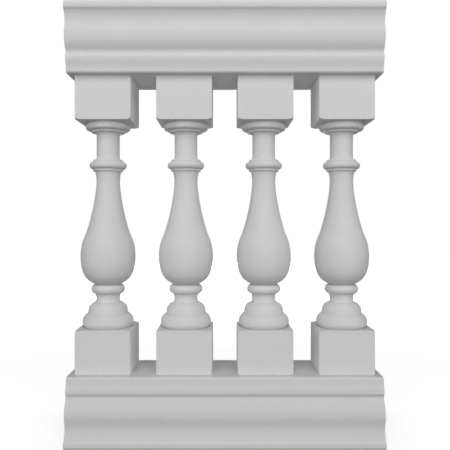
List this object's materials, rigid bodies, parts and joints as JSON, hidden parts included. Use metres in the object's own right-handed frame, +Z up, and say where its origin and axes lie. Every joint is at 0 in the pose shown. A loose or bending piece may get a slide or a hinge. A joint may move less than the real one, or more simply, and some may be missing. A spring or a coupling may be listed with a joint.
{
  "type": "stone balustrade bay",
  "caption": "Stone balustrade bay: turned vase balusters with square end blocks stand on a moulded bottom rail and carry a matching moulded top rail.",
  "frame": {"origin": "middle of the bottom rail's underside, on the ground", "axes": "+Z up, X along the rails, front faces -Y"},
  "size_m": [0.7172, 0.2098, 1],
  "materials": {
    "stone": "matte",
    "mortar": "matte"
  },
  "bodies": {
    "root": {"bottom_rail": "stone", "top_rail": "stone", "base_bed_1": "mortar", "base_bed_2": "mortar", "base_bed_3": "mortar", "base_bed_4": "mortar", "baluster_1": "stone", "baluster_2": "stone", "baluster_3": "stone", "baluster_4": "stone", "cap_bed_1": "mortar", "cap_bed_2": "mortar", "cap_bed_3": "mortar", "cap_bed_4": "mortar"}
  },
  "joints": []
}
